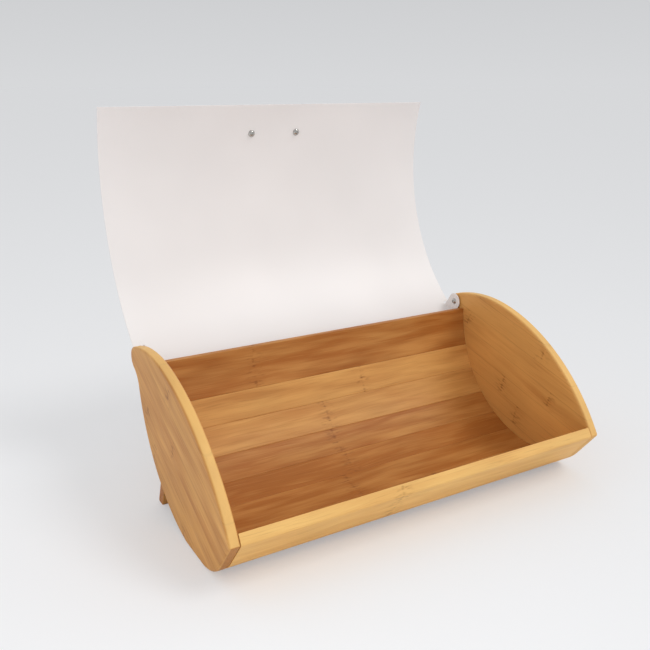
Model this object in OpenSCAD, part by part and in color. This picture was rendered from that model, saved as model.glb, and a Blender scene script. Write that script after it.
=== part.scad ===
// Bread box: two side panels carry a curved back and floor of glued staves, a front rail
// and a rear foot. A bent sheet lid turns on two screws at the back and is drawn open.
//
// +X runs across the box, +Y to the back, +Z up. Outlines are drawn in the (Y, Z) plane,
// measured from the centre of the side panels' upper edge, and then moved so that the
// origin lies on the table under the middle of the whole box with its lid open.

/* [Body] */
// Width over both side panels
body_w = 390; // [300:5:480]
// Thickness of a side panel
panel_t = 9.5; // [8:0.5:14]
// Radius of the side panels' upper edge, which the closed lid follows
top_r = 203.5; // [203:0.1:204]
// Radius of the curved back and underside of a side panel
low_r = 130; // [129:0.5:132]
// How far the lower curve's centre lies in front of the upper curve's centre
low_forward = 102; // [101:0.5:103]
// How far the lower curve's centre lies above the upper curve's centre
low_up = 182; // [181:0.5:183]
// How much the underside is planed away to stand flat
land_cut = 1.5; // [1:0.1:1.8]

/* [Back tip] */
// Radius of the rounded tip that holds the hinge screw
tip_r = 11.5; // [10.5:0.5:12]
// How far the tip's centre lies behind the upper curve's centre
tip_back = 32.5; // [31:0.5:33]
// How far the tip's centre lies above the upper curve's centre
tip_up = 184.5; // [184:0.5:186]
// Angle where the upper edge begins to fall towards the tip, counted from the back over the top
fall_angle = 102; // [98:1:108]
// Radius of the hollow that leads from the tip into the back
tip_hollow_r = 20; // [15:1:25]

/* [Nose] */
// Radius of the rounded nose
nose_r = 2.5; // [2:0.5:6]
// Angle of the nose above the level of the upper curve's centre
nose_angle = 30; // [29:0.5:31]
// Slope of the chamfer under the nose
chamfer_angle = 52; // [51:0.5:54]
// Radius of the heel, the curve between the chamfer and the underside
heel_r = 50; // [40:5:60]

/* [Staves] */
// Thickness of the staves
stave_t = 6; // [4:0.5:7]
// Clearance of the staves inside the outline of the side panels
stave_inset = 2; // [1.7:0.1:3]
// Angles of the stave joints, counted down and forward from the back of the lower curve
stave_joints = [0.5, 20, 33, 47, 60, 72.5, 88, 98, 107];

/* [Front rail] */
// Thickness of the rail behind its chamfer
rail_t = 9; // [8:0.5:12]

/* [Rear foot] */
// Thickness of the foot
foot_t = 9.5; // [8:0.5:12]
// Lean of the foot away from upright
foot_lean = 22; // [15:1:28]
// How far the foot's front edge on the table lies in front of the upper curve's centre
foot_forward = 11; // [8:0.5:20]
// Chamfer of the foot's lower back edge
foot_chamfer = 2; // [1:0.5:3]
// How far the foot's ends stop short of the outer faces
foot_end_inset = 3.5; // [3:0.5:5]
// How deep the foot is let into the lower edge of the side panels
foot_let_in = 10; // [6:1:12]

/* [Lid] */
// Thickness of the lid's sheet
sheet_t = 0.8; // [0.5:0.1:1]
// Gap between the closed lid and the upper edge of the rail
lid_gap = 0.6; // [0.5:0.1:2]
// Gap between each ear and its side panel
side_gap = 1.5; // [1:0.1:2.5]
// How far the lid reaches over each side panel
overlap = 2.5; // [0:0.5:4]
// Angle that the lid turns through from open to closed
lid_swing = 134; // [133.5:0.1:135]
// Angle of the closed lid's free edge, counted from the back over the top
lid_front = 152.5; // [150:0.5:154]
// Angle of the closed lid's hinge edge, counted in the same way
lid_back = 73.8; // [73.8:0.1:76]

/* [Hinge] */
// How far the hinge axis lies behind the upper curve's centre
pivot_back = 34.5; // [33:0.5:36]
// How far the hinge axis lies above the upper curve's centre
pivot_up = 187; // [186:0.5:188]
// Radius of the rounded ears of the lid
ear_r = 9; // [8:0.5:10]
// Width of the relief notch beside an ear
notch_w = 2.5; // [1.5:0.5:4]
// Depth of the relief notch
notch_deep = 2; // [1:0.5:3]
// Radius of the smooth shoulder that the ear turns on
shoulder_r = 2.2; // [1.8:0.1:3]
// Radial play of the ear on the shoulder
ear_play = 0.06; // [0.04:0.01:0.1]
// End play of the ear between the spacer and the screw head
end_play = 0.1; // [0.05:0.05:0.2]
// Radius of the screw's threaded end in the wood
thread_r = 1.7; // [1.4:0.1:1.8]
// Depth of the threaded end in the side panel
thread_deep = 7; // [5:0.5:7.5]
// Radius of a hinge screw head
hinge_head_r = 3.4; // [3:0.1:5]
// Height of a hinge screw head
hinge_head_h = 2.2; // [1.5:0.1:3]
// Outer radius of the spacer between an ear and its side panel
spacer_r = 4.5; // [4:0.5:6]

/* [Handle] */
// Length of the handle bar
handle_l = 92; // [75:1:130]
// Width of the handle bar along the lid
handle_w = 15; // [12:0.5:20]
// Height of the handle bar above the lid
handle_h = 17; // [14:0.5:22]
// Radius of the finger hollows along the bar's flanks
hollow_r = 14; // [12:1:20]
// Depth of the finger hollows
hollow_deep = 2.2; // [1:0.1:2.5]
// Height of the hollows' middle above the lid
hollow_up = 7.1; // [6.5:0.1:8]
// Angle of the handle on the closed lid, counted from the back over the top
handle_angle = 144; // [138:0.5:145]
// Distance between the two handle screws
handle_screw_gap = 53; // [40:1:60]
// Radius of a handle screw's shank
handle_shank_r = 1.9; // [1.5:0.1:2.2]
// Depth of a handle screw in the bar
handle_screw_deep = 11; // [8:0.5:12]
// Radius of a handle screw head
handle_head_r = 3.8; // [3:0.1:5]
// Height of a handle screw head
handle_head_h = 2.6; // [1.5:0.1:3]

/* [Dowels] */
// Radius of the dowels in the staves
stave_dowel_r = 1.5; // [1:0.1:1.7]
// Radius of the dowels in the rail
rail_dowel_r = 2.5; // [2:0.1:3]
// Depth of every dowel in a side panel
dowel_in_panel = 6; // [4:0.5:6.5]
// Depth of every dowel in a stave or the rail
dowel_in_board = 14; // [8:1:20]
// Radial glue gap round a dowel
glue_gap = 0.05; // [0.03:0.01:0.1]

/* [Hidden] */
$fn = 96;
far = 400;
eps = 0.01;
// Length, width and floor of a screw head's cross recess, as shares of its radius and height
recess = [1.1, 0.22, 0.55];
bamboo = "#c08a4e";
bamboo_dark = "#a86c36";
white_enamel = "#ece6e3";
steel = "#b8b8b6";

function polar(r, a) = [r * cos(a), r * sin(a)];
function unit(p) = p / norm(p);
// p turned by a about c
function turned(p, c, a) = c + [
    (p - c)[0] * cos(a) - (p - c)[1] * sin(a),
    (p - c)[0] * sin(a) + (p - c)[1] * cos(a)
];
// The point at distance ra from a and rb from b, on the right-hand side of the way from a to b
function meeting(a, ra, b, rb) =
    let (d = norm(b - a), u = (b - a) / d, along = (ra * ra - rb * rb + d * d) / (2 * d))
    a + along * u + sqrt(ra * ra - along * along) * [u[1], -u[0]];

inner_w = body_w - 2 * panel_t;
low_c = [-low_forward, low_up];
ground = low_up - low_r + land_cut;

// Back tip: a circle that a flatter arc, the fall, joins to the upper curve, touching both
tip_c = [tip_back, tip_up];
fall_way = polar(1, fall_angle);
fall_r = (norm(top_r * fall_way - tip_c) ^ 2 - tip_r ^ 2) / (2 * (top_r - fall_way * tip_c - tip_r));
fall_c = (top_r - fall_r) * fall_way;
tip_angle = atan2(tip_c[1] - fall_c[1], tip_c[0] - fall_c[0]);
// A hollow leads from the tip into the lower curve
hollow_c = meeting(low_c, low_r + tip_hollow_r, tip_c, tip_r + tip_hollow_r);
web_foot = low_c + (low_r - tip_r) * unit(hollow_c - low_c);

// Nose: a circle inside the upper curve, with the chamfer as its tangent
nose_c = (top_r - nose_r) * [-cos(nose_angle), sin(nose_angle)];
chamfer_out = [-sin(chamfer_angle), -cos(chamfer_angle)];
chamfer_down = [cos(chamfer_angle), -sin(chamfer_angle)];
chamfer_top = nose_c + nose_r * chamfer_out;
// Heel: a circle that touches the chamfer and the lower curve from inside
heel_way = chamfer_top - heel_r * chamfer_out - low_c;
heel_along = heel_way * chamfer_down;
heel_step = sqrt((low_r - heel_r) ^ 2 - heel_way * heel_way + heel_along ^ 2) - heel_along;
heel_c = low_c + heel_way + heel_step * chamfer_down;

stave_out_r = low_r - stave_inset;
stave_in_r = stave_out_r - stave_t;
stave_mid_r = (stave_out_r + stave_in_r) / 2;
last_joint = stave_joints[len(stave_joints) - 1];
rail_foot_in = low_c + polar(stave_in_r, -last_joint);
rail_top_in = chamfer_top - rail_t * chamfer_out;
rail_dowel_steps = [14, 36];
// Angles of the wedges that join the tip to the upper curve and hold the rail
tip_wedge = 60;
rail_wedge = 60;

foot_front = [-foot_forward, ground];
foot_up = [-sin(foot_lean), cos(foot_lean)];
foot_back = foot_front + [foot_t / cos(foot_lean), 0];
foot_l = 80;
foot_end_r = low_r - foot_let_in;
foot_end = body_w / 2 - foot_end_inset;

pivot = [pivot_back, pivot_up];
pivot_r = norm(pivot);
pivot_angle = atan2(pivot[1], pivot[0]);
lid_r = top_r + lid_gap;
lid_out_r = lid_r + sheet_t;
lid_half = inner_w / 2 - side_gap;
ear_in = lid_half - sheet_t;
lid_wide = inner_w / 2 + overlap;

// The handle's screw heads touch the hollow side of the lid with their rims
head_seat = sheet_t + pow(handle_head_r, 2) / (2 * lid_r);

grip_r = handle_w / 2;
grip_c = polar(lid_out_r + handle_h - grip_r, handle_angle);
grip_open = turned(grip_c, pivot, -lid_swing);

// The box is centred over the origin between its nose and the back of the open lid's handle
front_y = nose_c[0] - nose_r;
back_y = grip_open[0] + grip_r;
mid_y = (front_y + back_y) / 2;

module placed() {
    translate([0, -mid_y, -ground]) children();
}

// An outline in (Y, Z) made solid from x0 to x1
module across(x0, x1) {
    translate([x0, 0, 0]) rotate([90, 0, 90]) linear_extrude(x1 - x0) children();
}

// A wedge of the (Y, Z) plane about the lower curve's centre, between two angles below level
module low_wedge(a0, a1) {
    translate(low_c) polygon([[0, 0], polar(far, -a0), polar(far, -a1)]);
}

// All that lies outside the lower curve and the tip. The web joins the tip to the lower
// curve, and a wedge fills the corner between the tip and the fall.
module back_waste() {
    difference() {
        square(2 * far, center = true);
        translate(low_c) circle(low_r);
        translate(tip_c) circle(tip_r + eps);
        polygon([tip_c, hollow_c, web_foot]);
        polygon([
            tip_c, tip_c + polar(far, tip_angle), tip_c + polar(far, tip_angle + tip_wedge)
        ]);
    }
}

// All that lies above the fall
module fall_waste() {
    difference() {
        polygon([fall_c, fall_c + polar(far, tip_angle), fall_c + polar(far, fall_angle)]);
        translate(fall_c) circle(fall_r);
    }
}

module nose_waste() {
    difference() {
        polygon([
            nose_c, nose_c + far * unit(nose_c), nose_c + far * [-1, -0.4],
            chamfer_top + far * (chamfer_out + chamfer_down), chamfer_top + far * chamfer_down,
            chamfer_top
        ]);
        translate(nose_c) circle(nose_r + eps);
    }
}

module heel_waste() {
    difference() {
        polygon([heel_c, heel_c + far * chamfer_out, heel_c + far * unit(heel_c - low_c)]);
        translate(heel_c) circle(heel_r + eps);
    }
}

module panel_outline() {
    difference() {
        circle(top_r);
        back_waste();
        fall_waste();
        translate(hollow_c) circle(tip_hollow_r + eps);
        nose_waste();
        heel_waste();
        translate([-far, ground - far]) square([2 * far, far]);
    }
}

module rail_outline() {
    intersection() {
        panel_outline();
        polygon([
            rail_foot_in, rail_top_in - 2 * rail_t * chamfer_down, rail_top_in + far * chamfer_out,
            low_c + polar(far, -last_joint - rail_wedge), low_c + polar(far, -last_joint)
        ]);
    }
}

module foot_outline() {
    difference() {
        polygon([
            foot_front, foot_back - [foot_chamfer, 0], foot_back + foot_chamfer * foot_up,
            foot_back + foot_l * foot_up, foot_front + foot_l * foot_up
        ]);
        translate(low_c) circle(foot_end_r);
    }
}

// Dowel centres as [y, z]
stave_dowels = [
    for (i = [1:len(stave_joints) - 1])
        low_c + polar(stave_mid_r, -(stave_joints[i - 1] + stave_joints[i]) / 2)
];
rail_dowels = [
    for (step = rail_dowel_steps)
        chamfer_top + step * chamfer_down - rail_t / 2 * chamfer_out
];

// Round bars along X at the given centres, from x0 to x1
module bars(centres, r, x0, x1) {
    for (c = centres) translate([x0, c[0], c[1]]) rotate([0, 90, 0]) cylinder(r = r, h = x1 - x0);
}

module dowels(side, centres, r) {
    inside = inner_w / 2 - dowel_in_board;
    outside = inner_w / 2 + dowel_in_panel;
    color(bamboo_dark) placed() mirror([side < 0 ? 1 : 0, 0, 0]) bars(centres, r, inside, outside);
}

module side_panel(side) {
    color(bamboo) placed() mirror([side < 0 ? 1 : 0, 0, 0]) difference() {
        across(inner_w / 2, body_w / 2) panel_outline();
        across(inner_w / 2 - eps, foot_end) foot_outline();
        bars(stave_dowels, stave_dowel_r + glue_gap, inner_w / 2 - eps, inner_w / 2 + dowel_in_panel);
        bars(rail_dowels, rail_dowel_r + glue_gap, inner_w / 2 - eps, inner_w / 2 + dowel_in_panel);
        bars([pivot], thread_r, inner_w / 2 - eps, inner_w / 2 + thread_deep);
    }
}

module dowel_holes(centres, r) {
    for (x = [-inner_w / 2 - eps, inner_w / 2 - dowel_in_board])
        bars(centres, r + glue_gap, x, x + dowel_in_board + eps);
}

module stave(i) {
    color(i % 2 ? bamboo : bamboo_dark) placed() difference() {
        across(-inner_w / 2, inner_w / 2) intersection() {
            difference() {
                translate(low_c) circle(stave_out_r);
                translate(low_c) circle(stave_in_r);
            }
            low_wedge(stave_joints[i - 1], stave_joints[i]);
        }
        dowel_holes([stave_dowels[i - 1]], stave_dowel_r);
    }
}

module front_rail() {
    color(bamboo) placed() difference() {
        across(-inner_w / 2, inner_w / 2) rail_outline();
        dowel_holes(rail_dowels, rail_dowel_r);
    }
}

module rear_foot() {
    color(bamboo) placed() {
        across(-inner_w / 2, inner_w / 2) difference() {
            foot_outline();
            translate(low_c) circle(stave_out_r + glue_gap);
        }
        for (side = [0, 1]) mirror([side, 0, 0]) across(inner_w / 2, foot_end) foot_outline();
    }
}

// A domed screw head of radius r and height h, on the plane z = 0, with a cross recess
module dome(r, h) {
    ball = (r * r + h * h) / (2 * h);
    difference() {
        intersection() {
            translate([0, 0, h - ball]) sphere(ball);
            cylinder(r = r + 1, h = h + 1);
        }
        for (a = [0, 90]) rotate(a) translate([-recess[0] * r / 2, -recess[1] * r / 2, recess[2] * h])
            cube([recess[0] * r, recess[1] * r, h]);
    }
}

module hinge_screw(side) {
    color(steel) placed() mirror([side < 0 ? 1 : 0, 0, 0]) {
        bars([pivot], shoulder_r, ear_in - end_play, inner_w / 2);
        bars([pivot], thread_r, inner_w / 2 - eps, inner_w / 2 + thread_deep);
        translate([ear_in - end_play, pivot[0], pivot[1]]) rotate([0, -90, 0])
            dome(hinge_head_r, hinge_head_h);
    }
}

module hinge_spacer(side) {
    color(steel) placed() mirror([side < 0 ? 1 : 0, 0, 0]) difference() {
        bars([pivot], spacer_r, lid_half + end_play, inner_w / 2);
        bars([pivot], shoulder_r + ear_play, lid_half, inner_w / 2 + eps);
    }
}

// Turns what is drawn on the closed lid to the open lid
module opened() {
    translate([0, pivot[0], pivot[1]]) rotate([-lid_swing, 0, 0])
        translate([0, -pivot[0], -pivot[1]]) children();
}

// A frame on the closed lid's outer surface at the handle: local Z points out of the lid
module at_handle(x = 0) {
    c = polar(lid_out_r, handle_angle);
    translate([x, c[0], c[1]]) rotate([handle_angle - 90, 0, 0]) children();
}

module ear_outline() {
    intersection() {
        union() {
            translate(pivot) circle(ear_r);
            rotate(pivot_angle) translate([pivot_r, -ear_r]) square([far, 2 * ear_r]);
        }
        circle(lid_out_r);
    }
}

module lid_outline() {
    intersection() {
        difference() {
            circle(lid_out_r);
            circle(lid_r);
        }
        polygon([
            [0, 0], polar(far, lid_back), polar(far, (lid_back + lid_front) / 2),
            polar(far, lid_front)
        ]);
    }
}

// The sheet lies between the side panels at its ears, and reaches over them in front of the notches
module lid_sheet() {
    color(white_enamel) placed() opened() difference() {
        union() {
            across(-lid_half, lid_half) lid_outline();
            across(-lid_wide, lid_wide) intersection() {
                lid_outline();
                rotate(pivot_angle) translate([0, ear_r + notch_w]) square(far);
            }
            for (side = [0, 1]) mirror([side, 0, 0]) across(ear_in, lid_half) ear_outline();
        }
        for (side = [0, 1]) mirror([side, 0, 0]) {
            bars([pivot], shoulder_r + ear_play, ear_in - 1, lid_half + 1);
            across(lid_half - notch_deep, lid_half + 1) rotate(pivot_angle)
                translate([lid_r - 1, ear_r]) square([sheet_t + 2, notch_w]);
        }
        for (x = [-1, 1] * handle_screw_gap / 2) at_handle(x) translate([0, 0, -sheet_t - 1])
            cylinder(r = handle_shank_r + glue_gap, h = sheet_t + 2);
    }
}

module lid_handle() {
    color(bamboo) placed() opened() at_handle() difference() {
        union() {
            translate([-handle_l / 2 + grip_r, -grip_r, 0])
                cube([handle_l - handle_w, handle_w, handle_h - grip_r]);
            for (x = [-1, 1] * (handle_l / 2 - grip_r)) translate([x, 0, 0]) {
                cylinder(r = grip_r, h = handle_h - grip_r);
                translate([0, 0, handle_h - grip_r]) sphere(grip_r);
            }
            translate([-handle_l / 2 + grip_r, 0, handle_h - grip_r]) rotate([0, 90, 0])
                cylinder(r = grip_r, h = handle_l - handle_w);
        }
        for (y = [-1, 1] * (grip_r + hollow_r - hollow_deep)) translate([-handle_l, y, hollow_up])
            rotate([0, 90, 0]) cylinder(r = hollow_r, h = 2 * handle_l);
        for (x = [-1, 1] * handle_screw_gap / 2) translate([x, 0, -1])
            cylinder(r = handle_shank_r, h = handle_screw_deep + 1);
    }
}

module handle_screws() {
    color(steel) placed() opened() for (x = [-1, 1] * handle_screw_gap / 2) at_handle(x) {
        translate([0, 0, -head_seat - eps])
            cylinder(r = handle_shank_r, h = handle_screw_deep + head_seat + eps);
        translate([0, 0, -head_seat]) mirror([0, 0, 1]) dome(handle_head_r, handle_head_h);
    }
}

side_panel(-1);  // side_panel_left
side_panel(1);  // side_panel_right
stave(1);  // stave_1
stave(2);  // stave_2
stave(3);  // stave_3
stave(4);  // stave_4
stave(5);  // stave_5
stave(6);  // stave_6
stave(7);  // stave_7
stave(8);  // stave_8
front_rail();
rear_foot();
dowels(-1, stave_dowels, stave_dowel_r);  // stave_dowels_left
dowels(1, stave_dowels, stave_dowel_r);  // stave_dowels_right
dowels(-1, rail_dowels, rail_dowel_r);  // rail_dowels_left
dowels(1, rail_dowels, rail_dowel_r);  // rail_dowels_right
hinge_screw(-1);  // hinge_screw_left
hinge_screw(1);  // hinge_screw_right
hinge_spacer(-1);  // hinge_spacer_left
hinge_spacer(1);  // hinge_spacer_right
lid_sheet();
lid_handle();
handle_screws();
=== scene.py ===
import math

import bmesh
import bpy
import numpy as np
from bpy.props import FloatProperty, FloatVectorProperty, PointerProperty, StringProperty
from bpy.types import NodeSocket, Operator, Panel, PropertyGroup
from mathutils import Matrix, Vector


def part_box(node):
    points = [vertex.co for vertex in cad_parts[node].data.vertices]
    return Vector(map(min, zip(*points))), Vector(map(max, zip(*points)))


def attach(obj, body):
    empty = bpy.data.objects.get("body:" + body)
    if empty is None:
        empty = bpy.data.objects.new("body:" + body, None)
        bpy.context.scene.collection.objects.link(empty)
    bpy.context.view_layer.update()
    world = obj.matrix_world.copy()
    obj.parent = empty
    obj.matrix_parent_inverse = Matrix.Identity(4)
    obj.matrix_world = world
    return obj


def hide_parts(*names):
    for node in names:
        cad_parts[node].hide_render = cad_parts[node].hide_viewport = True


bl_info = {
    "name": "Bread Box",
    "version": (1, 0, 0),
    "blender": (4, 5, 0),
    "location": "3D View > Sidebar > Bread Box",
    "description": "Dresses the bread box's frame in bamboo, powder-coated sheet and steel",
    "category": "Add Mesh",
}

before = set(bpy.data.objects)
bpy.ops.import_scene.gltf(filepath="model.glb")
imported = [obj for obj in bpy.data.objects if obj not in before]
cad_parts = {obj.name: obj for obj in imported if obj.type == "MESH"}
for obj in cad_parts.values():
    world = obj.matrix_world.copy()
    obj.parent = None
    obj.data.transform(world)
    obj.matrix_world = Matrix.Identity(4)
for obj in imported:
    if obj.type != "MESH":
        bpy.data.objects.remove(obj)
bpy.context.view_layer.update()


def middle(node):
    """The middle of a CAD node's box."""
    low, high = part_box(node)
    return (low + high) / 2


PANEL_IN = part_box("side_panel_right")[0].x
PANEL_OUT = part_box("side_panel_right")[1].x
FOOT_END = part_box("rear_foot")[1].x
HINGE = np.array(middle("hinge_spacer_right"))[1:]

# Angles in degrees where one stave meets the next, counted down from the back of the lower curve
STAVE_JOINTS = (0.5, 20, 33, 47, 60, 72.5, 88, 98, 107)
# How pale each stave is, and where its ring from the bamboo's node lies along X, in mm
STAVE_SHADES = (0.2, 0.76, 0.64, 0.24, 0.0, 0.16, 0.25, 0.2)
STAVE_RINGS = (-75, 45, -6, -7, -5, -21, 60, -90)
# How far the strips of each side panel rise to the back, in degrees, and what bamboo() takes for it
# cut_depth: on the left it darkens end grain on a chamfer that also lies in shade, partly painted
# shade; on the right it is low, so the shaded chamfer is painted lighter
PANEL_WOOD = {
    "left": (25, dict(shade=0.68, phase=6, ring=0, cut_depth=0.8, seed=1)),
    "right": (14.5, dict(shade=0.98, phase=8.3, ring=-74.5, cut_depth=0.25, seed=2)),
}
# Radii of the foot's and the handle's arrises, and how wide a finger hollow's rim is rounded
FOOT_ARRIS = 0.0006
HANDLE_ARRIS = 0.0009
HOLLOW_RIM = 0.0005
# A corner of an outline is rounded if it turns by more than SHARP_TURN, in radians, and counts as
# turning by no more than WIDEST_TURN
SHARP_TURN = math.radians(16)
WIDEST_TURN = 2.6
# As shares of a board's arris: the radius of its corners, and how far beside the arris the next
# row of points lies
CORNER_SHARE = 1.4
BESIDE_SHARE = 0.15
# The soft step that many Map Range nodes make
SMOOTH = {"interpolation_type": "SMOOTHSTEP"}


def metres(name, description, default):
    """A length that a user can change."""
    return FloatProperty(name=name, description=description, default=default, unit="LENGTH")


def degrees(name, description, default):
    """An angle that a user can change. Its default is given in degrees."""
    start = math.radians(default)
    return FloatProperty(name=name, description=description, default=start, subtype="ANGLE")


def srgb(name, description, default):
    """A colour that a user can change, as sRGB hex."""
    return StringProperty(name=name, description=description + ", as sRGB hex", default=default)


class BreadBoxShape(PropertyGroup):
    """Sizes of the boards. They repeat the part's own dimensions."""

    hinge_from_top_centre: FloatVectorProperty(
        name="Hinge",
        description="Hinge axis, back and up from the centre of the panels' upper curve",
        size=2,
        default=(0.0345, 0.187),
        unit="LENGTH",
    )
    top_radius: metres("Upper curve", "Radius of the panels' upper edge", 0.2035)
    low_radius: metres("Lower curve", "Radius of the panels' lower edge", 0.13)
    low_centre: FloatVectorProperty(
        name="Lower centre",
        description="Centre of the lower curve, back and up from the centre of the upper one",
        size=2,
        default=(-0.102, 0.182),
        unit="LENGTH",
    )
    land_cut: metres("Land", "How much the underside is planed away", 0.0015)
    tip_radius: metres("Tip", "Radius of the tip that holds the hinge", 0.0115)
    tip_centre: FloatVectorProperty(
        name="Tip centre",
        description="Centre of the tip, back and up from the centre of the upper curve",
        size=2,
        default=(0.0325, 0.1845),
        unit="LENGTH",
    )
    fall_angle: degrees("Fall", "Angle where the upper edge begins to fall towards the tip", 102)
    hollow_radius: metres("Hollow", "Radius of the hollow under the tip", 0.02)
    nose_radius: metres("Nose", "Radius of the front nose", 0.0025)
    nose_angle: degrees("Nose angle", "Height angle of the nose", 30)
    chamfer_angle: degrees("Chamfer", "Slope of the chamfer under the nose", 52)
    heel_radius: metres("Heel", "Radius of the curve between chamfer and underside", 0.05)
    stave_thickness: metres("Stave", "Thickness of a stave", 0.006)
    stave_inset: metres("Stave inset", "Staves inside the panels' outline", 0.002)
    rail_thickness: metres("Rail", "Thickness of the front rail", 0.009)
    foot_thickness: metres("Foot", "Thickness of the rear foot", 0.0095)
    foot_lean: degrees("Foot lean", "Lean of the foot", 22)
    foot_forward: metres("Foot place", "How far forward of the upper centre the foot stands", 0.011)
    foot_chamfer: metres("Foot chamfer", "Chamfer of the foot's back edge", 0.002)
    panel_arris: metres("Panel arris", "Radius of the panels' sanded arrises", 0.0021)
    stave_arris: metres("Stave arris", "Radius of the staves' arrises", 0.00035)


class BreadBoxLid(PropertyGroup):
    """Sizes of the lid, its handle and the screws."""

    sheet_thickness: metres("Sheet", "Thickness of the lid's sheet", 0.0008)
    gap: metres("Gap", "Gap between the closed lid and the rail", 0.0006)
    side_gap: metres("Side gap", "Gap between an ear and its side panel", 0.0015)
    overlap: metres("Overlap", "How far the lid reaches over a side panel", 0.0025)
    swing: degrees("Swing", "Turn from the closed lid to the open one", 134)
    front_angle: degrees("Free edge", "Angle of the closed lid's free edge", 152.5)
    back_angle: degrees("Hinge edge", "Angle of the closed lid's hinge edge", 73.8)
    ear_radius: metres("Ear", "Radius of a hinge ear", 0.009)
    ear_hole: metres("Ear hole", "Radius of the hole in an ear", 0.00226)
    notch_width: metres("Notch", "Width of the relief notch beside an ear", 0.0025)
    bend_radius: metres("Bend", "Outer radius of the ear's bend", 0.002)
    edge_round: metres("Edge", "Rounding of the sheet's edges", 0.00025)
    handle_length: metres("Handle", "Length of the handle bar", 0.092)
    handle_width: metres("Handle width", "Width of the handle bar", 0.015)
    handle_height: metres("Handle height", "Height of the handle bar", 0.017)
    hollow_radius: metres("Finger hollow", "Radius of the finger hollows", 0.014)
    hollow_depth: metres("Hollow depth", "Depth of the finger hollows", 0.0022)
    hollow_up: metres("Hollow height", "Height of the hollows' middle", 0.0071)
    handle_angle: degrees("Handle place", "Angle of the handle on the closed lid", 144)


class BreadBoxFinish(PropertyGroup):
    """Colours and grain sizes of the materials."""

    bamboo_deep: srgb("Deep bamboo", "Deepest strips", "#AA682C")
    bamboo_pale: srgb("Pale bamboo", "Palest strips", "#DBA45D")
    # Painted light: the panels' edges are painted in this pale yellow as light from above, and the
    # rail takes it as its paler ground
    bamboo_lit_edge: srgb("Edges", "Sanded edges and the rail", "#F1C579")
    bamboo_fibre: srgb("Dark fibres", "Fibres, rings and pores", "#7A4218")
    glue: srgb("Glue line", "Glue lines", "#70411E")
    powder_coat: srgb("Powder coat", "White coat of the lid", "#EEE9E7")
    steel: srgb("Steel", "Polished steel", "#C9C6C1")
    strip_width: metres("Strip", "Width of a glued strip of a side panel", 0.021)
    fibre_width: metres("Fibre", "Width of a drawn fibre bundle", 0.0009)
    ring_gap: metres("Ring gap", "Distance between two node rings", 0.3)


class BreadBoxStudio(PropertyGroup):
    """Camera, floor and lamps."""

    camera_place: FloatVectorProperty(
        name="Camera",
        description="Where the camera stands",
        subtype="XYZ",
        default=(-0.3875, -0.6275, 0.375),
        unit="LENGTH",
    )
    camera_turn: FloatVectorProperty(
        name="Camera turn",
        description="Euler angles of the camera",
        subtype="EULER",
        default=(math.radians(72.8), 0, math.radians(-30.35)),
    )
    focal_length: FloatProperty(
        name="Focal length", description="On a sensor 36 mm wide, in mm", default=43.39
    )
    sky_low: FloatProperty(
        name="Light from the sides",
        description="Radiance of the soft light at the horizon",
        default=1.14,
        min=0,
    )
    sky_high: FloatProperty(
        name="Light from above",
        description="Radiance of the soft light overhead",
        default=0.65,
        min=0,
    )
    key_turn: degrees("Key side", "Key lamp, right of the front", 48)
    key_height: degrees("Key height", "Key lamp above level", 52)
    key_softness: degrees("Key softness", "Angle that the key lamp fills", 24)
    shadow_lift: FloatProperty(
        name="Shadow lift",
        description="Share of the floor's colour that the camera sees also in a shadow",
        default=0.36,
        min=0,
        max=1,
    )
    # The pool of light on the floor is painted into the floor's colour
    pool_place: FloatVectorProperty(
        name="Pool of light",
        description="Palest place of the floor, in front of the box",
        subtype="XYZ",
        default=(-0.29, -0.43, 0),
        unit="LENGTH",
    )
    pool_reach: metres("Pool size", "Where the floor is halfway to its far colour", 0.71)
    floor_near: srgb("Near floor", "Floor in the pool of light", "#FBFCFE")
    floor_far: srgb("Far floor", "Floor at the horizon", "#D7D8DA")
    backdrop_top: srgb("Backdrop", "Backdrop above the horizon", "#CDCED0")


# ---------------------------------------------------------------- outlines


def shape():
    """The boards' sizes."""
    return bpy.context.scene.bread_box_shape


def lid():
    """The lid's sizes."""
    return bpy.context.scene.bread_box_lid


def finish():
    """The colours and grain sizes."""
    return bpy.context.scene.bread_box_finish


def top_centre():
    """Centre of the panels' upper curve, as (y, z)."""
    return HINGE - np.array(shape().hinge_from_top_centre)


def low_centre():
    """Centre of the lower curve, as (y, z)."""
    return top_centre() + np.array(shape().low_centre)


def polar(radius, angle):
    """radius * (cos angle, sin angle), for one angle or an array of them."""
    return np.stack((radius * np.cos(angle), radius * np.sin(angle)), -1)


def angle_of(vector):
    """The angle of a flat vector from the first axis, from -180 to 180 degrees."""
    return math.atan2(vector[1], vector[0])


def arc(centre, radius, start, end, step=0.002):
    """Points on the circle centre + radius * (cos t, sin t), t running evenly from start to end."""
    count = max(3, int(abs(end - start) * radius / step) + 2)
    return centre + polar(radius, np.linspace(start, end, count))


def where_line_leaves(point, heading, centre, radius):
    """Where the line point + s * heading crosses a circle at the larger s: the larger root of
    s^2 + 2 s (offset . heading) + |offset|^2 - radius^2 = 0."""
    offset = point - centre
    along = offset @ heading
    return point + (-along + math.sqrt(along**2 - offset @ offset + radius**2)) * heading


def meeting(a, ra, b, rb):
    """The point at distance ra from a and rb from b, right of the way from a to b."""
    apart = np.linalg.norm(b - a)
    way = (b - a) / apart
    along = (ra**2 - rb**2 + apart**2) / (2 * apart)
    return a + along * way + math.sqrt(ra**2 - along**2) * np.array((way[1], -way[0]))


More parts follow.
